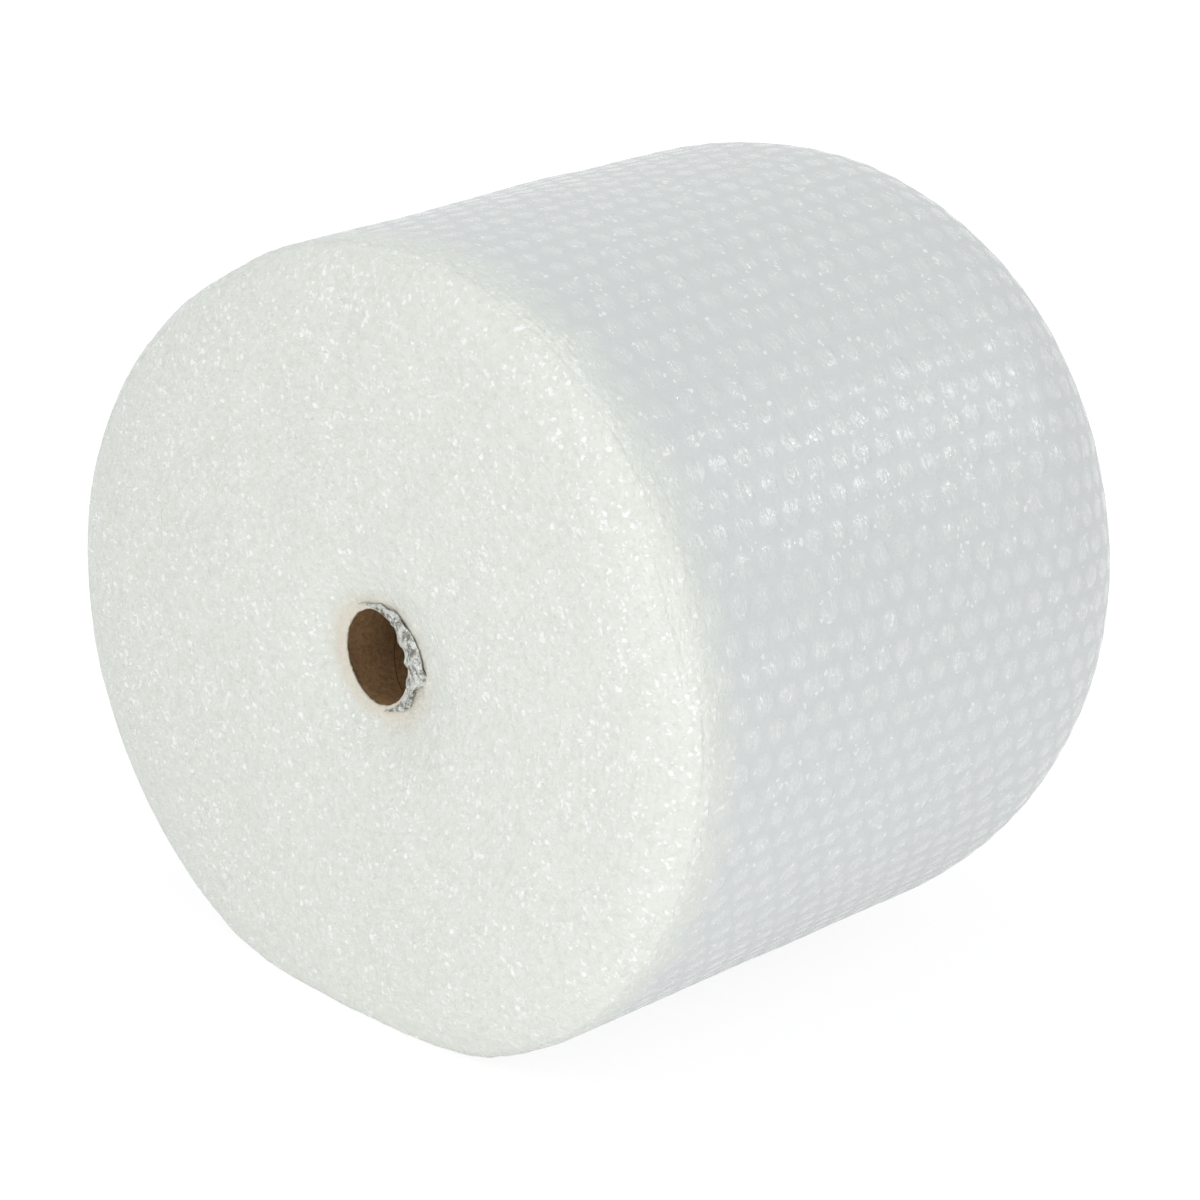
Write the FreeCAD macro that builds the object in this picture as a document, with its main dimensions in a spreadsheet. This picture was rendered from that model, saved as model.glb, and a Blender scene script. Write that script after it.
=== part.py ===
# Roll of bubble film, wound on a cardboard core and lying on its side.
# Millimetres, +Z up. The roll's axis runs along Y, and the near end faces -Y. The origin is
# under the middle of the roll, on the surface that it rests on.
# The film is soft, so the roll has sagged to an oval with a flat spot underneath.
import FreeCAD, Part
import Sketcher
import math
import os

Vector = FreeCAD.Vector

# Driving sizes: alias, value, what it is
SIZES = [
    ("core_bore", 76, "inner diameter of the cardboard core"),
    ("core_wall", 6, "wall of the core"),
    ("core_length", 500, "length of the core, as wide as the film"),
    ("core_recess", 24, "near mouth of the core behind the near end of the film"),
    ("winding_gap", 0.2, "first turn of film round the core"),
    ("roll_length", "=core_length + core_recess", "film from end to end, its turns wandering a little"),
    ("roll_radius", 337, "wound film before it sags"),
    ("axis_height", 295, "core's axis above the surface, less than the radius: a flat spot"),
    ("sag_share", 0.083, "share by which the oval is wider and lower than round"),
    ("sag_turn_deg", 26.5, "degrees by which the oval's long way rises towards +X"),
    ("near_rim_depth", 28, "rounding of the near rim, along the axis"),
    ("near_rim_reach", 67, "rounding of the near rim, across the end"),
    ("near_dish", 12, "how far the near end sinks towards the core"),
    ("far_rim_depth", 140, "rounding of the far rim, along the axis"),
    ("far_rim_reach", 136, "rounding of the far rim, across the end"),
    ("far_dish", 3, "how far the far end sinks towards the core"),
    ("near_face_bands", 9, "bands of turns on the near end, inside its rim"),
    ("near_rim_bands", 3, "bands of turns on the near rim"),
    ("far_face_bands", 6, "bands of turns on the far end, inside its rim"),
    ("far_rim_bands", 5, "bands of turns on the far rim"),
    ("band_rise", 3, "how far a band leans out before the step to the next"),
    ("face_crest_share", 0.8, "share of a face band's width at which it stands proudest"),
    ("rim_crest_share", 0.5, "the same on a rim"),
    ("bubble_rows", 94, "rows of bubbles round the outer turn"),
    ("row_gap_depth", 1.5, "dip of the film between two rows"),
    ("row_gap_share", 0.54, "share of a row's pitch that dips"),
    ("side_margin", 8, "plain strip of film along each rim"),
    ("film_thickness", 7, "one turn, bubbles and all"),
    ("tail_turn_deg", 100, "degrees round the oval from its short way to the film's free edge"),
]

doc = FreeCAD.newDocument("bubble_film_roll")
sheet = doc.addObject("Spreadsheet::Sheet", "Sizes")
for row, (alias, value, note) in enumerate(SIZES, start=1):
    sheet.set(f"A{row}", alias)
    sheet.set(f"B{row}", str(value))
    sheet.set(f"C{row}", note)
    sheet.setAlias(f"B{row}", alias)
doc.recompute()


def size(alias):
    return float(sheet.get(alias))


def origin_part(body, role):
    return next(part for part in body.Origin.OriginFeatures if part.Role == role)


def new_sketch(body, name, role):
    sketch = body.newObject("Sketcher::SketchObject", name)
    sketch.AttachmentSupport = [(origin_part(body, role), "")]
    sketch.MapMode = "FlatFace"
    return sketch


def closed_outline(sketch, points):
    """Closed run of straight edges through points (x, y)."""
    corners = [Vector(x, y, 0) for x, y in points]
    edges = zip(corners, corners[1:] + corners[:1])
    sketch.addGeometry([Part.LineSegment(a, b) for a, b in edges], False)
    last = len(corners) - 1
    for edge in range(len(corners)):
        sketch.addConstraint(Sketcher.Constraint("Coincident", (edge or last + 1) - 1, 2, edge, 1))


def bind_corner(sketch, edge, x, y):
    """Ties the start of an edge to two expressions, measured from the sketch's origin."""
    for kind, expression in (("DistanceX", x), ("DistanceY", y)):
        place = sketch.addConstraint(Sketcher.Constraint(kind, -1, 1, edge, 1, 1.0))
        sketch.setExpression(f"Constraints[{place}]", expression)


# Wound film, round


def folded(count, crest, place):
    """Zigzag of count bands of turns. place(share, proud) gives a point on the way out, 0 to 1."""
    points = []
    for band in range(count):
        points.append(place(band / count, 0.0))
        points.append(place((band + crest) / count, size("band_rise")))
    points.append(place(1.0, 0.0))
    return points


def rim_outline(end):
    """A rounded rim: (radius, depth behind the end), a quarter of an ellipse in bands."""
    depth = size(f"{end}_rim_depth")
    reach = size(f"{end}_rim_reach")
    start = size("roll_radius") - reach

    def place(share, proud):
        turn = share * math.pi / 2
        outward = proud * math.sin(turn)
        forward = proud * math.cos(turn)
        return start + reach * math.sin(turn) + outward, depth * (1 - math.cos(turn)) - forward

    points = folded(int(size(f"{end}_rim_bands")), size("rim_crest_share"), place)
    return [(radius, max(0.0, behind)) for radius, behind in points]


def face_outline(end):
    """The end inside its rim: (radius, depth behind the end), sinking towards the core in bands."""
    dish = size(f"{end}_dish")
    inner = size("core_bore") / 2 + size("core_wall")
    outer = (size("roll_radius") - size(f"{end}_rim_reach")) * (1 - size("sag_share"))

    def place(share, proud):
        sunk = (dish + size("band_rise")) * (1 - share) ** 2
        return inner + (outer - inner) * share, sunk + size("band_rise") * (share < 1) - proud

    return folded(int(size(f"{end}_face_bands")), size("face_crest_share"), place)


def along_the_side(feature):
    """Runs a feature from one rounded rim to the other."""
    feature.SideType = "Two sides"
    for length, end in (("Length", "near"), ("Length2", "far")):
        rim = f"Sizes.{end}_rim_depth + Sizes.side_margin"
        feature.setExpression(length, f"Sizes.roll_length / 2 - ({rim})")


def make_round_film():
    body = doc.addObject("PartDesign::Body", "round_film")
    half_length = size("roll_length") / 2
    near = [(radius, depth - half_length) for radius, depth in rim_outline("near")]
    far = [(radius, half_length - depth) for radius, depth in rim_outline("far")]
    section = new_sketch(body, "half_section", "XY_Plane")
    closed_outline(section, [(0, -half_length)] + near + far[::-1] + [(0, half_length)])
    turns = body.newObject("PartDesign::Revolution", "turns")
    turns.Profile = section
    turns.ReferenceAxis = (section, ["V_Axis"])
    turns.Angle = 360

    # The film dips between two rows of bubbles, which run along the axis.
    gap = new_sketch(body, "row_gap_section", "XZ_Plane")
    closed_outline(gap, [(-1, 9), (0, 1), (1, 9)])
    half_gap = "pi * Sizes.roll_radius / Sizes.bubble_rows * Sizes.row_gap_share"
    bind_corner(gap, 0, f"-2 * {half_gap}", "Sizes.roll_radius + Sizes.row_gap_depth")
    bind_corner(gap, 1, "0", "Sizes.roll_radius - Sizes.row_gap_depth")
    bind_corner(gap, 2, f"2 * {half_gap}", "Sizes.roll_radius + Sizes.row_gap_depth")
    first_gap = body.newObject("PartDesign::Pocket", "row_gap")
    first_gap.Profile = gap
    first_gap.Reversed = True
    along_the_side(first_gap)
    gaps = body.newObject("PartDesign::PolarPattern", "row_gaps")
    gaps.Originals = [first_gap]
    gaps.Axis = (origin_part(body, "Y_Axis"), [""])
    gaps.Angle = 360
    gaps.setExpression("Occurrences", "Sizes.bubble_rows")
    body.Tip = gaps

    # The last turn leaves the round in a straight line and ends in a free edge.
    tail = new_sketch(body, "tail_section", "XZ_Plane")
    tail.AttachmentOffset = FreeCAD.Placement(Vector(), FreeCAD.Rotation(Vector(0, 0, 1), 1))
    tail.setExpression("AttachmentOffset.Rotation.Angle", "Sizes.tail_turn_deg")
    closed_outline(tail, [(1, 9), (1, 8), (9, 8), (9, 9)])
    run = "sqrt((2 * Sizes.roll_radius + Sizes.film_thickness) * Sizes.film_thickness)"
    root = "Sizes.roll_radius - Sizes.film_thickness"
    bind_corner(tail, 0, "0", "Sizes.roll_radius")
    bind_corner(tail, 1, "0", root)
    bind_corner(tail, 2, run, root)
    bind_corner(tail, 3, run, "Sizes.roll_radius")
    free_edge = body.newObject("PartDesign::Pad", "free_edge")
    free_edge.Profile = tail
    along_the_side(free_edge)
    body.Tip = free_edge
    return body


# Wound film, sagged on its core


def make_face(end, towards):
    """What is cut off an end, so that its turns show in bands. towards is -1 for the near end."""
    body = doc.addObject("PartDesign::Body", f"{end}_face")
    half_length = size("roll_length") / 2
    outline = face_outline(end)
    outside = half_length + size("band_rise")
    corners = [(0, half_length - outline[0][1])]
    corners += [(radius, half_length - depth) for radius, depth in outline]
    corners += [(outline[-1][0], outside), (0, outside)]
    section = new_sketch(body, f"{end}_face_section", "XY_Plane")
    closed_outline(section, [(radius, towards * along) for radius, along in corners])
    ring = body.newObject("PartDesign::Revolution", f"{end}_face_turns")
    ring.Profile = section
    ring.ReferenceAxis = (section, ["V_Axis"])
    ring.Angle = 360
    body.setExpression("Placement.Base.z", "Sizes.axis_height")
    return body


def make_film():
    sagged = doc.addObject("Part::Scale", "sagged_film")
    sagged.Base = make_round_film()
    sagged.Uniform = False
    sagged.YScale = 1.0
    sagged.setExpression("XScale", "1 + Sizes.sag_share")
    sagged.setExpression("ZScale", "1 - Sizes.sag_share")
    sagged.Placement = FreeCAD.Placement(Vector(), FreeCAD.Rotation(Vector(0, 1, 0), -1))
    sagged.setExpression("Placement.Base.z", "Sizes.axis_height")
    sagged.setExpression("Placement.Rotation.Angle", "-Sizes.sag_turn_deg")

    core_space = doc.addObject("Part::Cylinder", "core_space")
    core_space.Placement = FreeCAD.Placement(Vector(), FreeCAD.Rotation(Vector(1, 0, 0), -90))
    core_space.setExpression("Radius", "Sizes.core_bore / 2 + Sizes.core_wall + Sizes.winding_gap")
    core_space.setExpression("Height", "2 * Sizes.roll_length")
    core_space.setExpression("Placement.Base.y", "-Sizes.roll_length")
    core_space.setExpression("Placement.Base.z", "Sizes.axis_height")

    under = doc.addObject("Part::Box", "under_the_surface")
    for side, along in (("Length", "x"), ("Width", "y")):
        under.setExpression(side, "4 * Sizes.roll_radius")
        under.setExpression(f"Placement.Base.{along}", "-2 * Sizes.roll_radius")
    under.setExpression("Height", "Sizes.roll_radius")
    under.setExpression("Placement.Base.z", "-Sizes.roll_radius")

    taken_away = doc.addObject("Part::MultiFuse", "taken_away")
    taken_away.Shapes = [core_space, under, make_face("near", -1), make_face("far", 1)]
    film = doc.addObject("Part::Cut", "film")
    film.Base = sagged
    film.Tool = taken_away
    film.Label = "bubble_film"
    return film


# Cardboard core


def make_core():
    body = doc.addObject("PartDesign::Body", "core")
    ring = new_sketch(body, "ring", "XZ_Plane")
    for place, radius in enumerate(("Sizes.core_bore / 2", "Sizes.core_bore / 2 + Sizes.core_wall")):
        ring.addGeometry(Part.Circle(Vector(), Vector(0, 0, 1), 10 + place), False)
        ring.addConstraint(Sketcher.Constraint("Coincident", place, 3, -1, 1))
        across = ring.addConstraint(Sketcher.Constraint("Radius", place, 10 + place))
        ring.setExpression(f"Constraints[{across}]", radius)
    tube = body.newObject("PartDesign::Pad", "tube")
    tube.Profile = ring
    tube.Midplane = True
    tube.setExpression("Length", "Sizes.core_length")
    body.setExpression("Placement.Base.y", "(Sizes.roll_length - Sizes.core_length) / 2")
    body.setExpression("Placement.Base.z", "Sizes.axis_height")
    body.Label = "cardboard_core"
    return body


def check(pieces):
    for thing in doc.Objects:
        if {"Invalid", "Error"} & set(thing.State):
            raise RuntimeError(f"{thing.Label} failed: {thing.State}")
    for piece in pieces:
        if piece.Shape.isNull() or not piece.Shape.isValid():
            raise RuntimeError(f"{piece.Label} has no sound shape")


pieces = [make_film(), make_core()]
doc.recompute()
check(pieces)
os.makedirs("parts", exist_ok=True)
for piece in pieces:
    piece.Shape.exportStep(f"parts/{piece.Label}.step")
    print(piece.Label, "volume", round(piece.Shape.Volume / 1e9, 6), "m3")
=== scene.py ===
# Roll of clear air-bubble film on a cardboard core, lying on its side on a white floor.
# Metres, +Z up. The roll's axis runs along Y and the near end faces -Y.
import bmesh
import bpy
import math
import numpy as np
from mathutils import Matrix, Vector


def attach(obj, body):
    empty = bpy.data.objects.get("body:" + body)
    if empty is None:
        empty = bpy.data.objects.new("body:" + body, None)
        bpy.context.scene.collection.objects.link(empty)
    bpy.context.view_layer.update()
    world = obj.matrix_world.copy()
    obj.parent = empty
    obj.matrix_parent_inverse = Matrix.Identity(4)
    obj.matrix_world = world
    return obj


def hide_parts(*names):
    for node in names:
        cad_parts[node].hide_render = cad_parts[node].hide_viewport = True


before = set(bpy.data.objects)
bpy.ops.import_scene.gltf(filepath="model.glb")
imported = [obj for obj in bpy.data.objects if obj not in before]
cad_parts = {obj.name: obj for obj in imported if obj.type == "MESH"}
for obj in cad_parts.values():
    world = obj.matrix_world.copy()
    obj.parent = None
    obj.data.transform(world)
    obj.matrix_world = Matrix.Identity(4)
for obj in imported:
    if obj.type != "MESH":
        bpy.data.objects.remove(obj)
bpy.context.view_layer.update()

# Sizes that the CAD part states

AXIS_HEIGHT = 0.295
ROLL_RADIUS = 0.337
HALF_LENGTH = 0.262
NEAR_RIM = (0.028, 0.067)  # rounding along the axis and across the end
FAR_RIM = (0.140, 0.136)
NEAR_DISH = 0.012
FAR_DISH = 0.003
CORE_RADIUS = 0.044
BORE_RADIUS = 0.038
CORE_NEAR_END = -0.238
CORE_FAR_END = 0.262

# Bubbles: rows run along the axis, every second row is moved by half a pitch

ROWS = 94
ROW_PITCH = 2 * math.pi * ROLL_RADIUS / ROWS
BUBBLE_PITCH = 0.0228
TURN = 0.007

# The roll sags to an oval: waves on its radius, by the angle from straight down towards +X

OVAL_WAVES = ((2, -0.0498, -0.0659), (3, -0.0030, 0.0080))  # waves round, cosine and sine share
SAG_GROWTH = 1.4  # the sag is whole at 1 / 1.4 of the way from the bore to the outside
FLOOR_BLEND = 0.010  # rounding where the flat spot begins

LUMP_CELLS = 32  # cells of the smooth noise before it repeats
FAR_AWAY = 9.0  # more than any distance here


def smooth(t):
    t = np.clip(t, 0.0, 1.0)
    return t * t * (3 - 2 * t)


def soft_min(a, b, width):
    near = np.maximum(width - np.abs(a - b), 0.0) / width
    return np.minimum(a, b) - near * near * width / 4


def lumps(points, cell, seed):
    """Smooth noise from -1 to 1 with cells of that size, at points (n, 3)."""
    table = np.random.default_rng(seed).uniform(-1.0, 1.0, (LUMP_CELLS,) * 3)
    scaled = points / cell
    base = np.floor(scaled).astype(int)
    share = smooth(scaled - base)
    total = np.zeros(len(points))
    for corner in np.ndindex(2, 2, 2):
        weight = np.prod(np.where(corner, share, 1 - share), axis=1)
        total += weight * table[tuple(((base + corner) % LUMP_CELLS).T)]
    return total


def sagged(radius, turn):
    """Radius of the sagged roll where the round one had radius, at an angle from straight down."""
    waves = sum(c * np.cos(n * turn) + s * np.sin(n * turn) for n, c, s in OVAL_WAVES)
    share = smooth((radius - BORE_RADIUS) / (ROLL_RADIUS - BORE_RADIUS) * SAG_GROWTH)
    free = radius * (1 + waves * share)
    down = np.cos(turn)
    floor = np.where(down > 0.05, AXIS_HEIGHT / np.maximum(down, 0.05), FAR_AWAY)
    return soft_min(free, floor, FLOOR_BLEND)


def new_piece(name, bm, material, node):
    mesh = bpy.data.meshes.new(name)
    bm.to_mesh(mesh)
    bm.free()
    piece = bpy.data.objects.new(name, mesh)
    bpy.context.scene.collection.objects.link(piece)
    mesh.materials.append(material)
    mesh.shade_smooth()
    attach(piece, "root")
    if node:
        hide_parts(node)
    return piece


def tube(profile, steps):
    """A grid to be bent round the Y axis into a tube with this closed section.

    Gives the grid, and each vertex's step round, ring, radius and place along the axis.
    """
    bm = bmesh.new()
    rings = len(profile)
    bmesh.ops.create_grid(bm, x_segments=steps, y_segments=rings, size=1.0)
    flat = np.array([v.co[:2] for v in bm.verts])
    step = np.rint((flat[:, 0] + 1) / 2 * steps).astype(int)
    ring = np.rint((flat[:, 1] + 1) / 2 * rings).astype(int)
    radius, along = np.array(profile)[ring % rings].T
    return bm, step, ring, radius, along


def around(radius, turn, along):
    """Points at these radii and angles from straight down, about the axis."""
    return np.stack([radius * np.sin(turn), along, -radius * np.cos(turn)], axis=1)


def close_tube(bm, points, values):
    """Puts the grid's vertices in place, keeps values on them, and merges the seams."""
    layers = [(bm.verts.layers.float.new(name), numbers) for name, numbers in values.items()]
    for index, (v, place) in enumerate(zip(bm.verts, points)):
        v.co = (place[0], place[1], place[2] + AXIS_HEIGHT)
        for layer, numbers in layers:
            v[layer] = numbers[index]
    bmesh.ops.remove_doubles(bm, verts=bm.verts, dist=1e-6)
    bmesh.ops.recalc_face_normals(bm, faces=bm.faces)


def map_tube(bm, step, ring, place):
    """UV map from each corner's step and ring, and its face's first ring."""
    layer = bm.loops.layers.uv.new("OFBake")
    bm.verts.index_update()
    corner = [loop.vert.index for face in bm.faces for loop in face.loops]
    first = np.repeat(ring[np.array(corner)].reshape(-1, 4).min(axis=1), 4)
    uv = place(step[corner], ring[corner], first)
    loops = (loop for face in bm.faces for loop in face.loops)
    for loop, u, v in zip(loops, *uv):
        loop[layer].uv = (u, v)


# Camera, at the photograph's angle

CAMERA_TURN = 0.8291
CAMERA_RISE = 0.3869
CAMERA_ROLL = 0.0008
CAMERA_PLACE = Vector((0.0294, -0.0567, 9.3817)) * ROLL_RADIUS  # middle of the roll from the camera
SENSOR = 36.0
LENS_SHARE = 4084.9 / 1200  # focal length over the picture's width


def make_camera():
    back = Vector((math.sin(CAMERA_TURN) * math.cos(CAMERA_RISE),
                   -math.cos(CAMERA_TURN) * math.cos(CAMERA_RISE), math.sin(CAMERA_RISE)))
    right = Vector((math.cos(CAMERA_TURN), math.sin(CAMERA_TURN), 0.0))
    down = (-back).cross(right)
    c, s = math.cos(CAMERA_ROLL), math.sin(CAMERA_ROLL)
    right, down = right * c + down * s, down * c - right * s
    axes = Matrix((right, down, -back))
    data = bpy.data.cameras.new("camera")
    data.sensor_width = SENSOR
    data.lens = SENSOR * LENS_SHARE
    data.clip_start, data.clip_end = 0.05, 60.0
    camera = bpy.data.objects.new("camera", data)
    bpy.context.scene.collection.objects.link(camera)
    place = -(axes.transposed() @ CAMERA_PLACE) + Vector((0, 0, AXIS_HEIGHT))
    turned = Matrix((right, -down, back)).transposed().to_4x4()
    camera.matrix_world = Matrix.Translation(place) @ turned
    bpy.context.scene.camera = camera


# Shader helpers


class Nodes:
    """Short ways to add nodes to one tree."""

    def __init__(self, tree):
        self.tree = tree

    def add(self, kind, **values):
        node = self.tree.nodes.new("ShaderNode" + kind)
        for name, value in values.items():
            setattr(node, name, value)
        return node

    def link(self, source, target):
        self.tree.links.new(source, target)

    def feed(self, socket, value):
        if isinstance(value, bpy.types.NodeSocket):
            self.link(value, socket)
        else:
            socket.default_value = value

    def math(self, operation, a, b=0.0, c=0.0):
        node = self.add("Math", operation=operation)
        for socket, value in zip(node.inputs, (a, b, c)):
            self.feed(socket, value)
        return node.outputs[0]

    def noise(self, vector, scale, detail=2.0, roughness=0.5, stretch=(1, 1, 1), distortion=0.0):
        mapping = self.add("Mapping")
        self.feed(mapping.inputs["Vector"], vector)
        mapping.inputs["Scale"].default_value = stretch
        node = self.add("TexNoise")
        self.link(mapping.outputs[0], node.inputs["Vector"])
        node.inputs["Scale"].default_value = scale
        node.inputs["Detail"].default_value = detail
        node.inputs["Roughness"].default_value = roughness
        node.inputs["Distortion"].default_value = distortion
        return node.outputs["Fac"]

    def ramp(self, value, low, high, out_low=0.0, out_high=1.0):
        node = self.add("MapRange", interpolation_type="SMOOTHSTEP")
        self.feed(node.inputs["Value"], value)
        ends = (("From Min", low), ("From Max", high), ("To Min", out_low), ("To Max", out_high))
        for name, number in ends:
            self.feed(node.inputs[name], number)
        return node.outputs[0]

    def mix(self, share, a, b):
        """A colour between two; 6, 7 and 2 are the Mix node's colour sockets."""
        node = self.add("Mix", data_type="RGBA")
        self.feed(node.inputs[0], share)
        self.feed(node.inputs[6], a)
        self.feed(node.inputs[7], b)
        return node.outputs[2]

    def bump(self, height, strength, distance, normal=None):
        node = self.add("Bump")
        self.feed(node.inputs["Height"], height)
        node.inputs["Strength"].default_value = strength
        node.inputs["Distance"].default_value = distance
        if normal is not None:
            self.link(normal, node.inputs["Normal"])
        return node.outputs[0]


def new_material(name):
    material = bpy.data.materials.new(name)
    material.use_nodes = True
    tree = material.node_tree
    tree.nodes.clear()
    nodes = Nodes(tree)
    surface = nodes.add("BsdfPrincipled")
    out = nodes.add("OutputMaterial")
    nodes.link(surface.outputs[0], out.inputs["Surface"])
    return material, nodes, surface


def linear(r, g, b):
    """A display colour, 0 to 255, as the shader takes it."""
    return tuple(((c / 255 + 0.055) / 1.055) ** 2.4 for c in (r, g, b)) + (1.0,)


# Distances from a facet's middle, in cells: where it ends and where it is whole

FACET_EDGE = (0.80, 0.30)
SHINE_EDGE = (0.60, 0.46)
FACET_WARP = 0.007  # metres that noise moves the facets' edges


def facet_group():
    """Crumpled thin film: small folds that lean at random, some of them shining."""
    group = bpy.data.node_groups.new("film_facets", "ShaderNodeTree")
    group.interface.new_socket("Vector", in_out="INPUT", socket_type="NodeSocketVector")
    for name in ("Scale", "Lean", "Share"):
        group.interface.new_socket(name, in_out="INPUT", socket_type="NodeSocketFloat")
    for name in ("Height", "Shine"):
        group.interface.new_socket(name, in_out="OUTPUT", socket_type="NodeSocketFloat")
    nodes = Nodes(group)
    given, result = group.nodes.new("NodeGroupInput"), group.nodes.new("NodeGroupOutput")
    warp = nodes.add("TexNoise")
    nodes.link(given.outputs["Vector"], warp.inputs["Vector"])
    nodes.link(nodes.math("MULTIPLY", given.outputs["Scale"], 0.7), warp.inputs["Scale"])
    warp.inputs["Detail"].default_value = 2.0
    moved = nodes.add("VectorMath", operation="MULTIPLY_ADD")
    nodes.link(warp.outputs["Color"], moved.inputs[0])
    moved.inputs[1].default_value = (FACET_WARP,) * 3
    nodes.link(given.outputs["Vector"], moved.inputs[2])
    cells = nodes.add("TexVoronoi", feature="F1")
    nodes.link(moved.outputs[0], cells.inputs["Vector"])
    nodes.link(given.outputs["Scale"], cells.inputs["Scale"])
    offset = nodes.add("VectorMath", operation="SUBTRACT")
    nodes.link(moved.outputs[0], offset.inputs[0])
    nodes.link(cells.outputs["Position"], offset.inputs[1])
    way = nodes.add("VectorMath", operation="SUBTRACT")
    nodes.link(cells.outputs["Color"], way.inputs[0])
    way.inputs[1].default_value = (0.5, 0.5, 0.5)
    lean = nodes.add("VectorMath", operation="DOT_PRODUCT")
    nodes.link(offset.outputs[0], lean.inputs[0])
    nodes.link(way.outputs[0], lean.inputs[1])
    inside = nodes.ramp(cells.outputs["Distance"], *FACET_EDGE)
    height = nodes.math("MULTIPLY", lean.outputs["Value"], given.outputs["Lean"])
    nodes.link(nodes.math("MULTIPLY", height, inside), result.inputs["Height"])
    apart = nodes.add("SeparateColor")
    nodes.link(cells.outputs["Color"], apart.inputs[0])
    limit = nodes.math("SUBTRACT", 1.0, given.outputs["Share"])
    shine = nodes.math("GREATER_THAN", apart.outputs[2], limit)
    core = nodes.ramp(cells.outputs["Distance"], *SHINE_EDGE)
    nodes.link(nodes.math("MULTIPLY", shine, core), result.inputs["Shine"])
    return group


FACETS = facet_group()


def facets(nodes, vector, scale, lean, share):
    """Height and shine of facets, scale of them a metre, with this lean and share of shining ones."""
    node = nodes.add("Group")
    node.node_tree = FACETS
    nodes.feed(node.inputs["Vector"], vector)
    for name, value in (("Scale", scale), ("Lean", lean), ("Share", share)):
        node.inputs[name].default_value = value
    return [node.outputs[name] for name in ("Height", "Shine")]


# Colours: film on the ends is warm; film on the side is cooler and painted darker, which is painted shade on
# the side

FILM_WARM = linear(234, 236, 230)
FILM_WARM_SHADE = linear(227, 230, 223)
FILM_SIDE_COOL_SHADED = linear(222, 224, 224)
FILM_COOL_SHADE = linear(213, 216, 217)
# Painted highlights: white on the wrinkle crests, the crinkle tops and the shining facets
PAINTED_GLINT_WHITE = linear(254, 254, 253)
FILM_GROOVE_SHADE = linear(218, 223, 217)  # painted shade in the grooves between the turns
LIP_FOLD_SHADE = linear(112, 110, 102)
LIP_LIGHT = linear(214, 215, 209)
CARD_TINT_AND_SHADE = linear(224, 211, 192)  # film that takes the core's colour round the mouth, with painted shade beside the mouth towards +X
CARD_DARK = linear(138, 107, 75)
CARD_LIGHT = linear(172, 139, 102)
CARD_SPECK = linear(96, 70, 48)
CARD_SEAM = linear(70, 48, 32)


def nearest_bubble(nodes, rows, pitches):
    """How far a place on the film is from the nearest bubble, with that bubble's chance and tilt."""
    distances, tilts, names = [], [], []
    for odd in (0.0, 1.0):
        row = nodes.math("MULTIPLY_ADD", rows, 0.5, 0.5 - odd / 2)
        across = nodes.math("SUBTRACT", nodes.math("FRACT", row), 0.5)
        across = nodes.math("MULTIPLY", across, 2 * ROW_PITCH)
        place = nodes.math("ADD", pitches, 0.5 + odd / 2)
        along = nodes.math("SUBTRACT", nodes.math("FRACT", place), 0.5)
        along = nodes.math("MULTIPLY", along, BUBBLE_PITCH)
        square = nodes.math("MULTIPLY_ADD", across, across, nodes.math("MULTIPLY", along, along))
        distances.append(nodes.math("SQRT", square))
        name = nodes.add("CombineXYZ")
        nodes.feed(name.inputs[0], nodes.math("FLOOR", row))
        nodes.feed(name.inputs[1], nodes.math("FLOOR", place))
        name.inputs[2].default_value = odd
        chance = nodes.add("TexWhiteNoise", noise_dimensions="3D")
        nodes.link(name.outputs[0], chance.inputs["Vector"])
        names.append(chance.outputs["Value"])
        lean = nodes.add("SeparateColor")
        nodes.link(chance.outputs["Color"], lean.inputs[0])
        one_way = nodes.math("MULTIPLY", nodes.math("SUBTRACT", lean.outputs[0], 0.5), across)
        other_way = nodes.math("SUBTRACT", lean.outputs[1], 0.5)
        tilts.append(nodes.math("MULTIPLY_ADD", other_way, along, one_way))
    bubble = nodes.math("MINIMUM", *distances)
    second = nodes.math("LESS_THAN", distances[1], distances[0])

    def nearer(pair):
        choice = nodes.add("Mix", data_type="FLOAT")
        for socket, value in zip((0, 2, 3), (second, *pair)):
            nodes.link(value, choice.inputs[socket])
        return choice.outputs[0]

    return bubble, nearer(names), nearer(tilts)


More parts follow.
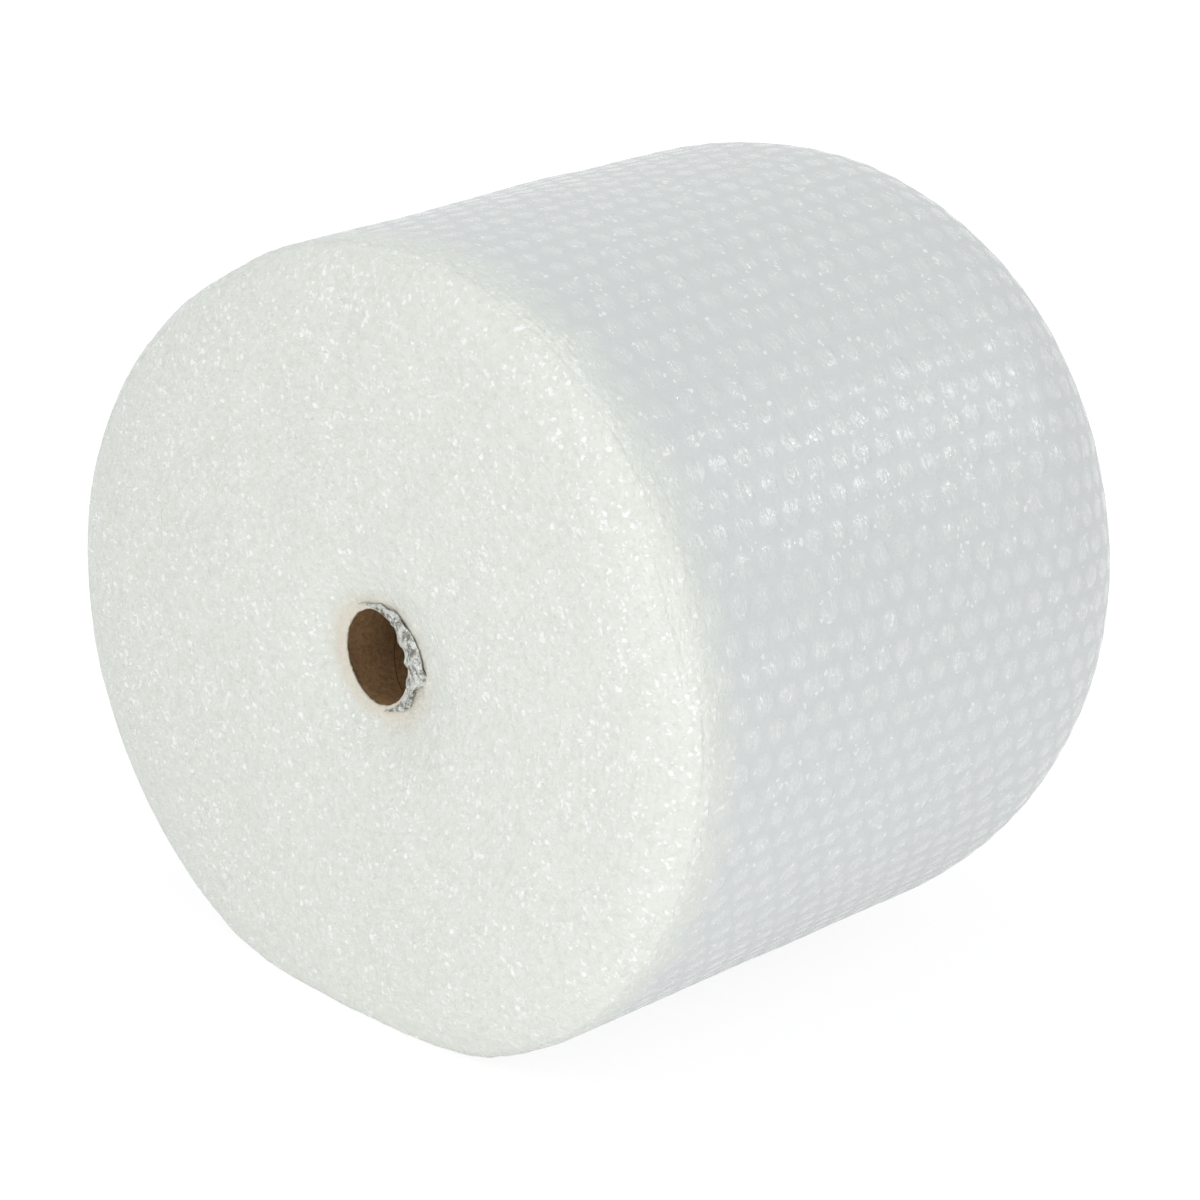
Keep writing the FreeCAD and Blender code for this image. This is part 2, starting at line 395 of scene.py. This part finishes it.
def make_side_material():
    """The outer turn: flat film drawn tight over bubbles, wrinkled over each of them."""
    material, nodes, surface = new_material("film_side")
    side = nodes.add("Attribute", attribute_name="side").outputs["Fac"]
    apart = nodes.add("SeparateXYZ")
    nodes.link(nodes.add("UVMap", uv_map="OFBake").outputs[0], apart.inputs[0])
    rows = nodes.math("MULTIPLY", apart.outputs[0], ROWS)
    pitches = nodes.math("MULTIPLY", apart.outputs[1], SIDE_MAP_LENGTH / BUBBLE_PITCH)
    bubble, chance, tilt = nearest_bubble(nodes, rows, pitches)
    dome = nodes.math("MULTIPLY", nodes.ramp(bubble, 0.0112, 0.0), side)
    patch = nodes.math("MULTIPLY", nodes.ramp(bubble, 0.0102, 0.0056), side)
    flat = nodes.add("CombineXYZ")
    nodes.feed(flat.inputs[0], nodes.math("MULTIPLY", apart.outputs[0], ROWS * ROW_PITCH))
    nodes.feed(flat.inputs[1], nodes.math("MULTIPLY", apart.outputs[1], SIDE_MAP_LENGTH))
    flat = flat.outputs[0]
    wrinkles = nodes.noise(flat, 70.0, detail=1.0, stretch=(1.0, 4.2, 1.0), distortion=0.3)
    crease = nodes.math("ABSOLUTE", nodes.math("SUBTRACT", wrinkles, 0.5))
    sway = nodes.noise(flat, 26.0, detail=1.0, stretch=(1.0, 1.3, 1.0))
    lift, shine = facets(nodes, flat, 330.0, 0.08, 0.035)
    tight = nodes.math("MULTIPLY_ADD", patch, 0.75, 0.25)
    bumped = nodes.bump(dome, 1.0, 0.0005)
    bumped = nodes.bump(nodes.math("MULTIPLY", tilt, patch), 1.0, 0.09, bumped)
    bumped = nodes.bump(sway, 1.0, 0.0010, bumped)
    bumped = nodes.bump(nodes.math("MULTIPLY", crease, tight), 1.0, 0.0012, bumped)
    crinkle = nodes.noise(flat, 170.0, detail=3.0, roughness=0.65, stretch=(1.0, 1.8, 1.0),
                          distortion=1.0)
    rough = nodes.math("MULTIPLY_ADD", side, -0.8, 1.0)
    bumped = nodes.bump(nodes.math("MULTIPLY", crinkle, rough), 1.0, 0.0016, bumped)
    bumped = nodes.bump(lift, 1.0, 1.0, bumped)
    nodes.link(bumped, surface.inputs["Normal"])
    shade = nodes.mix(nodes.math("MULTIPLY", patch, 0.5), FILM_COOL_SHADE, FILM_SIDE_COOL_SHADED)
    # White lines on the wrinkle crests over each bubble: painted highlights.
    streak_highlight = nodes.math("MULTIPLY", nodes.ramp(crease, 0.040, 0.0), patch)
    shade = nodes.mix(nodes.math("MULTIPLY", streak_highlight, 0.30), shade, PAINTED_GLINT_WHITE)
    warm = nodes.mix(nodes.ramp(crinkle, 0.36, 0.60), FILM_WARM_SHADE, FILM_WARM)
    # The tops of the crinkles near the rims go white: painted highlights.
    warm = nodes.mix(nodes.ramp(crinkle, 0.58, 0.66), warm, PAINTED_GLINT_WHITE)
    # The side's film is painted darker than the ends' film: painted shade on the side.
    shade = nodes.mix(side, warm, shade)
    # Shining facets painted white: painted glints.
    shade = nodes.mix(nodes.math("MULTIPLY", shine, 0.6), shade, PAINTED_GLINT_WHITE)
    nodes.link(shade, surface.inputs["Base Color"])
    glossy = nodes.math("MULTIPLY_ADD", chance, 0.07, 0.08)
    nodes.feed(surface.inputs["Roughness"], nodes.ramp(patch, 0.0, 1.0, 0.45, glossy))
    surface.inputs["Specular IOR Level"].default_value = 1.0
    return material


def make_end_material():
    """The wound ends: thin edges of many turns, crushed and crinkled."""
    material, nodes, surface = new_material("film_ends")
    place = nodes.add("TexCoord").outputs["Object"]
    turn = nodes.add("Attribute", attribute_name="turn").outputs["Fac"]
    lift, shine = facets(nodes, place, 240.0, 0.22, 0.07)
    small_lift, small_shine = facets(nodes, place, 420.0, 0.25, 0.10)
    soft = nodes.noise(place, 60.0, detail=3.0, roughness=0.6)
    from_axis = nodes.add("VectorMath", operation="SUBTRACT")
    nodes.link(place, from_axis.inputs[0])
    from_axis.inputs[1].default_value = (0.0, 0.0, AXIS_HEIGHT)
    level = nodes.add("VectorMath", operation="MULTIPLY")
    nodes.link(from_axis.outputs[0], level.inputs[0])
    level.inputs[1].default_value = (1.0, 0.0, 1.0)
    way = nodes.add("VectorMath", operation="NORMALIZE")
    nodes.link(level.outputs[0], way.inputs[0])
    spread = nodes.add("VectorMath", operation="SCALE")
    nodes.link(way.outputs[0], spread.inputs[0])
    spread.inputs["Scale"].default_value = 17.0
    wound = nodes.add("CombineXYZ")
    nodes.feed(wound.inputs[1], nodes.math("MULTIPLY", turn, 1.7))
    polar = nodes.add("VectorMath", operation="ADD")
    nodes.link(spread.outputs[0], polar.inputs[0])
    nodes.link(wound.outputs[0], polar.inputs[1])
    strokes = nodes.noise(polar.outputs[0], 1.0, detail=3.0, roughness=0.65, distortion=1.2)
    crumple = nodes.noise(place, 160.0, detail=3.0, roughness=0.5, distortion=0.8)
    wobble = nodes.math("MULTIPLY_ADD", nodes.noise(place, 30.0, detail=2.0), 1.6, turn)
    wave = nodes.math("SINE", nodes.math("MULTIPLY", wobble, 2 * math.pi))
    patchy = nodes.ramp(nodes.noise(place, 9.0, detail=2.0), 0.48, 0.66)
    arcs = nodes.math("MULTIPLY", wave, patchy)
    bumped = nodes.bump(soft, 1.0, 0.0014)
    bumped = nodes.bump(strokes, 1.0, 0.0005, bumped)
    bumped = nodes.bump(crumple, 1.0, 0.0006, bumped)
    bumped = nodes.bump(arcs, 1.0, 0.00003, bumped)
    bumped = nodes.bump(lift, 1.0, 1.0, bumped)
    bumped = nodes.bump(small_lift, 1.0, 1.0, bumped)
    nodes.link(bumped, surface.inputs["Normal"])
    shade = nodes.mix(nodes.ramp(crumple, 0.34, 0.60), FILM_WARM_SHADE, FILM_WARM)
    # Duller in the grooves between the turns: painted shade.
    shade = nodes.mix(nodes.math("MULTIPLY", nodes.ramp(arcs, 0.2, -0.9), 0.2), shade, FILM_GROOVE_SHADE)
    # Shining facets painted white: painted glints, which are also glossier.
    white = nodes.math("MAXIMUM", shine, small_shine)
    shade = nodes.mix(white, shade, PAINTED_GLINT_WHITE)
    # The core's colour through the film round the mouth, and painted shade where the ring widens towards +X.
    glow = nodes.add("Attribute", attribute_name="core_tint_and_shade").outputs["Fac"]
    shade = nodes.mix(nodes.math("MULTIPLY", glow, 0.7), shade, CARD_TINT_AND_SHADE)
    nodes.link(shade, surface.inputs["Base Color"])
    nodes.feed(surface.inputs["Roughness"], nodes.ramp(white, 0.0, 1.0, 0.38, 0.12))
    surface.inputs["Specular IOR Level"].default_value = 0.6
    return material


def make_lip_material():
    """Bare film with nothing white behind it, crumpled over the mouth of the core."""
    material, nodes, surface = new_material("film_lip")
    place = nodes.add("TexCoord").outputs["Object"]
    lift, shine = facets(nodes, place, 420.0, 0.9, 0.30)
    soft = nodes.noise(place, 170.0, detail=3.0, roughness=0.6)
    bumped = nodes.bump(soft, 1.0, 0.0016)
    bumped = nodes.bump(lift, 1.0, 1.0, bumped)
    nodes.link(bumped, surface.inputs["Normal"])
    # Darker in the hollows of the folds: painted shade.
    shade = nodes.mix(nodes.ramp(soft, 0.38, 0.58), LIP_FOLD_SHADE, LIP_LIGHT)
    # Shining facets painted white: painted glints.
    shade = nodes.mix(nodes.math("MULTIPLY", shine, 0.6), shade, PAINTED_GLINT_WHITE)
    nodes.link(shade, surface.inputs["Base Color"])
    surface.inputs["Roughness"].default_value = 0.12
    surface.inputs["Specular IOR Level"].default_value = 0.9
    return material


PLY_TURNS = 5.01  # of the core's spiral seam, over its map
PLY_START = 0.119


def make_card_material():
    """Cardboard with a grain, specks and the dark line of its spiral seam."""
    material, nodes, surface = new_material("core_card")
    place = nodes.add("TexCoord").outputs["Object"]
    grain = nodes.noise(place, 260.0, detail=4.0, roughness=0.7)
    speck = nodes.noise(place, 620.0, detail=2.0)
    shade = nodes.mix(nodes.ramp(grain, 0.3, 0.7), CARD_DARK, CARD_LIGHT)
    shade = nodes.mix(nodes.ramp(speck, 0.60, 0.72, 0.0, 0.7), shade, CARD_SPECK)
    apart = nodes.add("SeparateXYZ")
    nodes.link(nodes.add("UVMap", uv_map="OFBake").outputs[0], apart.inputs[0])
    seam = nodes.math("MULTIPLY_ADD", apart.outputs[1], PLY_TURNS, PLY_START)
    seam = nodes.math("FRACT", nodes.math("SUBTRACT", seam, apart.outputs[0]))
    seam = nodes.ramp(nodes.math("ABSOLUTE", nodes.math("SUBTRACT", seam, 0.5)), 0.004, 0.0015)
    shade = nodes.mix(nodes.math("MULTIPLY", seam, 0.85), shade, CARD_SEAM)
    nodes.link(shade, surface.inputs["Base Color"])
    bumped = nodes.bump(grain, 0.3, 0.0006)
    nodes.link(nodes.bump(seam, 1.0, -0.0005, bumped), surface.inputs["Normal"])
    surface.inputs["Roughness"].default_value = 0.85
    surface.inputs["Specular IOR Level"].default_value = 0.25
    return material


# The outer turn of film

ROUND_STEPS = ROWS * 6
SIDE_STEP = BUBBLE_PITCH / 6
SKIN = 0.003
BUBBLE_TOP = 0.0050  # from a bubble's middle to where its dip begins
DIP_SLOPE = 0.0075
DIP_DEPTH = 0.00025
GROOVE_DEPTH = 0.0003  # between two rows
EDGE_FADE = 0.022  # over which the relief ends, at both edges of the side


def rim_point(end, share):
    """A place on a rounded rim, share 0 at its start on the end and 1 where the side begins."""
    depth, reach = NEAR_RIM if end < 0 else FAR_RIM
    turn = share * math.pi / 2
    along = end * (HALF_LENGTH - depth * (1 - math.cos(turn)))
    return (ROLL_RADIUS - reach + reach * math.sin(turn), along)


def evenly(points, step):
    """Points at even steps along a section, and its length."""
    points = np.array(points)
    run = np.append(0.0, np.cumsum(np.hypot(*np.diff(points, axis=0).T)))
    even = np.linspace(0.0, run[-1], int(run[-1] / step) + 1)
    return [(np.interp(s, run, points[:, 0]), np.interp(s, run, points[:, 1])) for s in even], run[-1]


SIDE_SECTION, SIDE_LENGTH = evenly([rim_point(-1, share) for share in np.linspace(0.66, 1.0, 40)]
                                   + [rim_point(1, share) for share in np.linspace(1.0, 0.30, 60)], SIDE_STEP)
SIDE_MAP_SHARE = 0.96
SIDE_MAP_LENGTH = SIDE_LENGTH / SIDE_MAP_SHARE


def bubble_distance(rows, pitches):
    """How far a place on the film is from the middle of the nearest bubble."""
    best = np.full(rows.shape, FAR_AWAY)
    for odd in (0, 1):
        across = ((rows / 2 + 0.5 - odd / 2) % 1.0 - 0.5) * 2 * ROW_PITCH
        along = ((pitches + 0.5 + odd / 2) % 1.0 - 0.5) * BUBBLE_PITCH
        best = np.minimum(best, np.hypot(across, along))
    return best


def make_outer_turn(material):
    last = len(SIDE_SECTION)
    inner = [(radius - SKIN, along) for radius, along in (SIDE_SECTION[-1], SIDE_SECTION[0])]
    bm, step, ring, radius, along = tube(SIDE_SECTION + inner, ROUND_STEPS)
    turn = step / ROUND_STEPS * 2 * math.pi
    outside = (ring < last) | (ring == last + 2)
    path = np.where(ring < last, ring, 0) / (last - 1) * SIDE_LENGTH
    rows, pitches = step / ROUND_STEPS * ROWS, path / BUBBLE_PITCH
    spots = around(radius, turn, along)
    fade = smooth(path / EDGE_FADE) * smooth((SIDE_LENGTH - path) / EDGE_FADE)
    away = bubble_distance(rows, pitches)
    dip = smooth((away - BUBBLE_TOP) / DIP_SLOPE) * DIP_DEPTH * (1 + 0.5 * lumps(spots, 0.030, 4))
    groove = (0.5 + 0.5 * np.cos(2 * math.pi * (rows + 0.5))) * GROOVE_DEPTH
    groove = groove * (1 + 0.4 * lumps(spots, 0.060, 5))
    sway = lumps(spots, 0.110, 7) * 0.0012 + lumps(spots, 0.045, 8) * 0.0006
    start = path - 0.006 * (1 + lumps(spots, 0.012, 10))
    tuck = 0.0015 * (1 - smooth(start / 0.016)) + 0.0040 * (1 - smooth((SIDE_LENGTH - path) / 0.016))
    drop = np.where(outside, (dip + groove - sway) * fade + tuck, 0.0040)
    put = around(sagged(radius, turn) - drop, turn, along)
    put[:, 2] = np.maximum(put[:, 2], -AXIS_HEIGHT)
    ragged = path - 0.010 + 0.010 * lumps(spots, 0.02, 9) + 0.004 * lumps(spots, 0.008, 6)
    side = smooth(ragged / 0.045)
    map_tube(bm, step, ring, lambda s, r, first: (
        s / ROUND_STEPS, np.where(first < last - 1, r / (last - 1) * SIDE_MAP_SHARE,
                                  0.97 + 0.03 * (r - last + 1) / 3)))
    close_tube(bm, put, {"side": side})
    return new_piece("outer_turn", bm, material, "bubble_film")


# The wound ends

RINGS_A_TURN = 4
TURN_SHIFT = 0.017  # of the noise, from one turn to the next
FUNNEL = 0.0105  # how far the film sinks to the core's end

# Film folded over the core's near end: radius and place along the axis

MOUTH = ((0.0378, -0.2372), (0.0379, -0.2384), (0.0388, -0.2390), (0.0405, -0.2394),
         (0.0425, -0.2397))


def end_profile(end, step):
    """Section of a wound end: from the core, over the face and the rim, to under the outer turn."""
    depth, reach = NEAR_RIM if end < 0 else FAR_RIM
    dish = NEAR_DISH if end < 0 else FAR_DISH
    flat = ROLL_RADIUS - reach
    points = list(MOUTH) if end < 0 else [(CORE_RADIUS, HALF_LENGTH - dish)]
    for radius in np.arange(CORE_RADIUS + 0.0005, flat, step):
        share = (radius - CORE_RADIUS) / (flat - CORE_RADIUS)
        points.append((radius, end * (HALF_LENGTH - dish * (1 - share) ** 2)))
    rim, _ = evenly([rim_point(end, share) for share in np.linspace(0.0, 1.0, 200)], step)
    return points + rim


def make_end(end, material):
    name, steps = ("near_turns", ROWS * 5) if end < 0 else ("far_turns", ROWS * 4)
    front = end_profile(end, TURN / RINGS_A_TURN if end < 0 else TURN / 2)
    last = len(front)
    deep = front[-1][1] - end * 0.012
    back = [(front[-1][0] - 0.004, deep)]
    if end < 0:
        back += [(CORE_RADIUS + 0.001, deep), (CORE_RADIUS + 0.001, CORE_NEAR_END - 0.0005),
                 (BORE_RADIUS - 0.0003, CORE_NEAR_END - 0.0005), (BORE_RADIUS - 0.0003, MOUTH[0][1])]
    else:
        back += [(CORE_RADIUS, deep)]
    bm, step, ring, radius, along = tube(front + back, steps)
    turn = step / steps * 2 * math.pi
    outside = (ring < last) | (ring == len(front + back))
    turns = (radius - CORE_RADIUS) / TURN
    whole = np.floor(turns)
    ridge = np.abs(turns % 1.0 - 0.5) * 2
    spots = around(radius, turn, along)
    apart = spots + np.stack([0 * whole, whole * TURN_SHIFT, 0 * whole], axis=1)
    wander = (lumps(apart, 0.012, 11) * 0.0003 + lumps(spots, 0.006, 12) * 0.0006
              + lumps(spots, 0.050, 13) * 0.0016)
    calm = smooth((radius - 0.039) / 0.015)
    if end < 0:
        wide = 0.045 + 0.030 * np.maximum(np.sin(turn), 0.0)
        sunk = FUNNEL * (1 - smooth((radius - 0.042) / wide))
        along = along + np.where(outside & (radius > CORE_RADIUS), sunk, 0.0)
    depth, reach = NEAR_RIM if end < 0 else FAR_RIM
    slope = np.clip((radius - (ROLL_RADIUS - reach)) / reach, 0.0, 1.0)
    push = (0.0010 + ridge * 0.0001 - wander) * calm
    along = np.where(outside, along - end * push * np.sqrt(1 - slope ** 2 * 0.99), along)
    bury = 0.0003 if end < 0 else 0.0020
    hidden = 0.955 if end < 0 else 0.93
    tuck = bury + 0.0032 * smooth((slope - hidden) / (1 - hidden))
    sink = (tuck + ridge * 0.0004 - wander * 0.5) * smooth(slope * 3)
    inward = np.where(outside, sink, 0.004 * slope)
    mouth = np.where(outside, 1 - smooth((radius - 0.0379) / 0.004), 0.0)
    frayed = 0.0045 * np.maximum(-np.sin(turn), 0.0) + 0.0010 * np.abs(lumps(spots, 0.004, 16))
    put = around(sagged(radius, turn) - inward - mouth * frayed, turn, along)
    put[:, 2] = np.maximum(put[:, 2], -AXIS_HEIGHT)
    # The core's colour through the film round the mouth; the ring widens towards +X, which is painted shade
    # beside the mouth.
    glow = 1 - smooth((radius - 0.037) / (0.020 + 0.030 * np.maximum(np.sin(turn), 0.0)))
    width = 2.2 * ROLL_RADIUS

    def place(s, r, first):
        flat_radius = np.array([p[0] for p in front + back + front[:1]])[r]
        angle = s / steps * 2 * math.pi
        strip = first >= last - 1
        u = np.where(strip, s / steps, 0.5 + flat_radius * np.sin(angle) / width)
        v = np.where(strip, 0.97 + 0.03 * (r - last + 1) / (len(back) + 1),
                     0.48 - flat_radius * np.cos(angle) / width)
        return u, v

    map_tube(bm, step, ring, place)
    close_tube(bm, put, {"turn": turns, "core_tint_and_shade": glow})
    return new_piece(name, bm, material, "bubble_film")


# Core


def make_core(material):
    """Cardboard tube with a slightly crushed near end."""
    steps = 96
    inside = [(BORE_RADIUS, along) for along in np.linspace(CORE_FAR_END, CORE_NEAR_END, 50)]
    outside = [(CORE_RADIUS, along) for along in np.linspace(CORE_NEAR_END, CORE_FAR_END, 3)]
    profile = inside + outside
    bm, step, ring, radius, along = tube(profile, steps)
    turn = step / steps * 2 * math.pi
    spots = around(radius, turn, along)
    worn = smooth((CORE_NEAR_END + 0.02 - along) / 0.02)
    radius = radius + np.where(radius < 0.041, lumps(spots, 0.020, 21) * 0.0004 * (1 + 2 * worn), 0.0)
    put = around(radius, turn, along)
    map_tube(bm, step, ring, lambda s, r, first: (s / steps, r / len(profile)))
    close_tube(bm, put, {})
    return new_piece("card_core", bm, material, "cardboard_core")


# Crumpled film at the mouth of the core

LIP_PATH = ((0.0560, -0.2445), (0.0520, -0.2450), (0.0470, -0.2445), (0.0425, -0.2435),
            (0.0385, -0.2400), (0.0366, -0.2345))  # radius and place along the axis
LIP_START, LIP_SPAN = 18, 182  # degrees from straight down towards +X


def make_lip(material):
    bm = bmesh.new()
    bmesh.ops.create_grid(bm, x_segments=150, y_segments=24, size=1.0)
    flat = (np.array([v.co[:2] for v in bm.verts]) + 1) / 2
    turn = np.radians(LIP_START + LIP_SPAN * flat[:, 0])
    path = np.array(LIP_PATH)
    at = flat[:, 1] * (len(path) - 1)
    radius = np.interp(at, range(len(path)), path[:, 0])
    along = np.interp(at, range(len(path)), path[:, 1])
    taper = smooth(flat[:, 0] / 0.40) * smooth((1 - flat[:, 0]) / 0.45)
    radius = radius + (1 - taper) * (0.0400 - radius) * 0.9
    spots = around(radius, turn, along)
    folds = lumps(spots, 0.011, 31) * 0.0030 + lumps(spots, 0.005, 32) * 0.0016
    creases = np.abs(lumps(spots, 0.008, 33)) * 0.0026
    edge = 1 - smooth(flat[:, 1] / 0.3)
    radius = radius + (folds - creases * flat[:, 1] + edge * lumps(spots, 0.014, 35) * 0.006) * taper
    outward = lumps(spots, 0.009, 34) * 0.0020 + creases * (1 - edge) - 0.0015 - 0.0015 * edge
    along = along - outward * taper + (1 - taper) * 0.003
    for v, place in zip(bm.verts, around(radius, turn, along)):
        v.co = (place[0], place[1], place[2] + AXIS_HEIGHT)
    bmesh.ops.recalc_face_normals(bm, faces=bm.faces)
    bmesh.ops.solidify(bm, geom=bm.faces, thickness=0.0003)
    return new_piece("mouth_film", bm, material, "bubble_film")


# Floor, backdrop and light

AMBIENT = 0.57
LAMPS = (  # name, place, aimed at, width, height, power
    ("key", (0.2, -2.7, 2.5), (0, 0, 0.3), 0.9, 0.9, 11.0),
    ("top", (0.2, -0.2, 3.2), (0, 0, 0.3), 0.8, 0.8, 16.0),
    ("behind", (1.9, 1.95, 1.9), (0.25, -0.05, 0.4), 0.22, 1.0, 6.0),
    ("low_front", (0.5, -1.9, 0.20), (0, 0, 0.1), 1.2, 0.3, 5.8),
    ("low_side", (1.6, -0.4, 0.08), (0, 0, 0.05), 1.4, 0.14, 4.0),
)
SKY_TINT = (0.97, 1.0, 0.985)  # of the light from above and all round
FLOOR_LIGHT = 0.92  # how white the floor is to light
FLOOR_LOOK = 0.20  # its matte share as the camera sees it; the rest is its own glow
GLOW_REACH = (0.35, 1.2)  # from the roll's middle, over which the glow grows
GLOW = (0.88, 1.0)


def link_to_scene(name, data):
    thing = bpy.data.objects.new(name, data)
    bpy.context.scene.collection.objects.link(thing)
    return thing


def choose_by_view(nodes, light, seen):
    """The second shader where the camera, a mirror or clear film sees it, the first for light."""
    path = nodes.add("LightPath")
    looks = nodes.math("MAXIMUM", path.outputs["Is Camera Ray"], path.outputs["Is Glossy Ray"])
    looks = nodes.math("MAXIMUM", looks, path.outputs["Is Transmission Ray"])
    choose = nodes.add("MixShader")
    nodes.link(looks, choose.inputs[0])
    nodes.link(light, choose.inputs[1])
    nodes.link(seen, choose.inputs[2])
    return choose.outputs[0]


def make_stage():
    bm = bmesh.new()
    bmesh.ops.create_grid(bm, x_segments=1, y_segments=1, size=14.0)
    mesh = bpy.data.meshes.new("floor")
    bm.to_mesh(mesh)
    bm.free()
    link_to_scene("floor", mesh)
    material = bpy.data.materials.new("floor_white")
    material.use_nodes = True
    material.node_tree.nodes.clear()
    nodes = Nodes(material.node_tree)
    matte, lit = nodes.add("BsdfDiffuse"), nodes.add("BsdfDiffuse")
    glow, both = nodes.add("Emission"), nodes.add("AddShader")
    matte.inputs["Color"].default_value = (FLOOR_LIGHT,) * 3 + (1.0,)
    lit.inputs["Color"].default_value = (FLOOR_LOOK,) * 3 + (1.0,)
    away = nodes.add("VectorMath", operation="LENGTH")
    nodes.link(nodes.add("TexCoord").outputs["Object"], away.inputs[0])
    nodes.feed(glow.inputs["Strength"], nodes.ramp(away.outputs["Value"], *GLOW_REACH, *GLOW))
    nodes.link(lit.outputs[0], both.inputs[0])
    nodes.link(glow.outputs[0], both.inputs[1])
    out = nodes.add("OutputMaterial")
    nodes.link(choose_by_view(nodes, matte.outputs[0], both.outputs[0]), out.inputs["Surface"])
    mesh.materials.append(material)

    world = bpy.data.worlds.new("studio")
    bpy.context.scene.world = world
    world.use_nodes = True
    world.node_tree.nodes.clear()
    nodes = Nodes(world.node_tree)
    ambient, seen = nodes.add("Background"), nodes.add("Background")
    ambient.inputs["Color"].default_value = SKY_TINT + (1.0,)
    seen.inputs["Color"].default_value = (1, 1, 1, 1)
    ambient.inputs["Strength"].default_value = AMBIENT
    out = nodes.add("OutputWorld")
    nodes.link(choose_by_view(nodes, ambient.outputs[0], seen.outputs[0]), out.inputs["Surface"])


def make_lamps():
    for name, place, aim, width, height, power in LAMPS:
        data = bpy.data.lights.new(name, "AREA")
        data.shape = "RECTANGLE"
        data.size, data.size_y = width, height
        data.energy = power
        if name == "top":
            data.color = SKY_TINT
        lamp = link_to_scene(name, data)
        lamp.location = place
        lamp.rotation_euler = (Vector(aim) - Vector(place)).to_track_quat("-Z", "Y").to_euler()


make_camera()
make_stage()
make_lamps()
make_outer_turn(make_side_material())
end_film = make_end_material()
make_end(-1, end_film)
make_end(1, end_film)
make_core(make_card_material())
make_lip(make_lip_material())
bpy.context.scene.view_settings.view_transform = "Standard"
